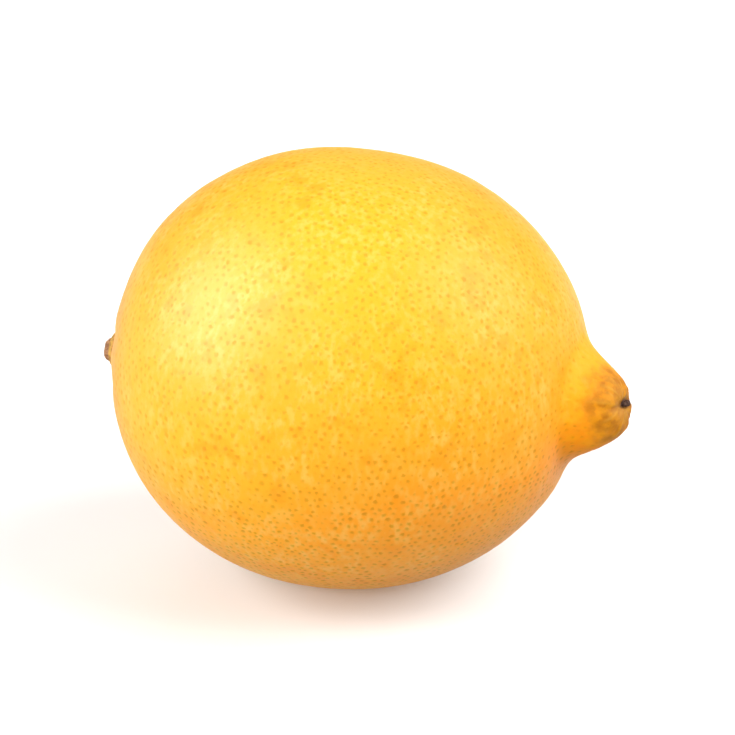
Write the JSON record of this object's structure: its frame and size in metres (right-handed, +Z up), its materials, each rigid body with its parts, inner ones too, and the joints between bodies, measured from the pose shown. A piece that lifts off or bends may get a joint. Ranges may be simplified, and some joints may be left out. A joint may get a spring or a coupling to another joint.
{
  "type": "lemon",
  "caption": "Whole ripe lemon lying on its side, with a blunt nipple at one end and a dried calyx and short stub of stem at the other.",
  "frame": {"origin": "on the surface that the fruit rests on, in the flat spot under the widest part of the body", "axes": "+X from the stem end to the nipple, +Z up, +Y to the fruit's far side when it is seen with the nipple on the right"},
  "size_m": [0.0782, 0.063, 0.0634],
  "materials": {
    "peel": "satin",
    "sepal": "matte",
    "stem_wood": "matte",
    "dry_style": "matte"
  },
  "bodies": {
    "root": {"fruit": "peel", "calyx": "sepal", "stem_stub": "stem_wood", "style_remnant": "dry_style"}
  },
  "joints": []
}
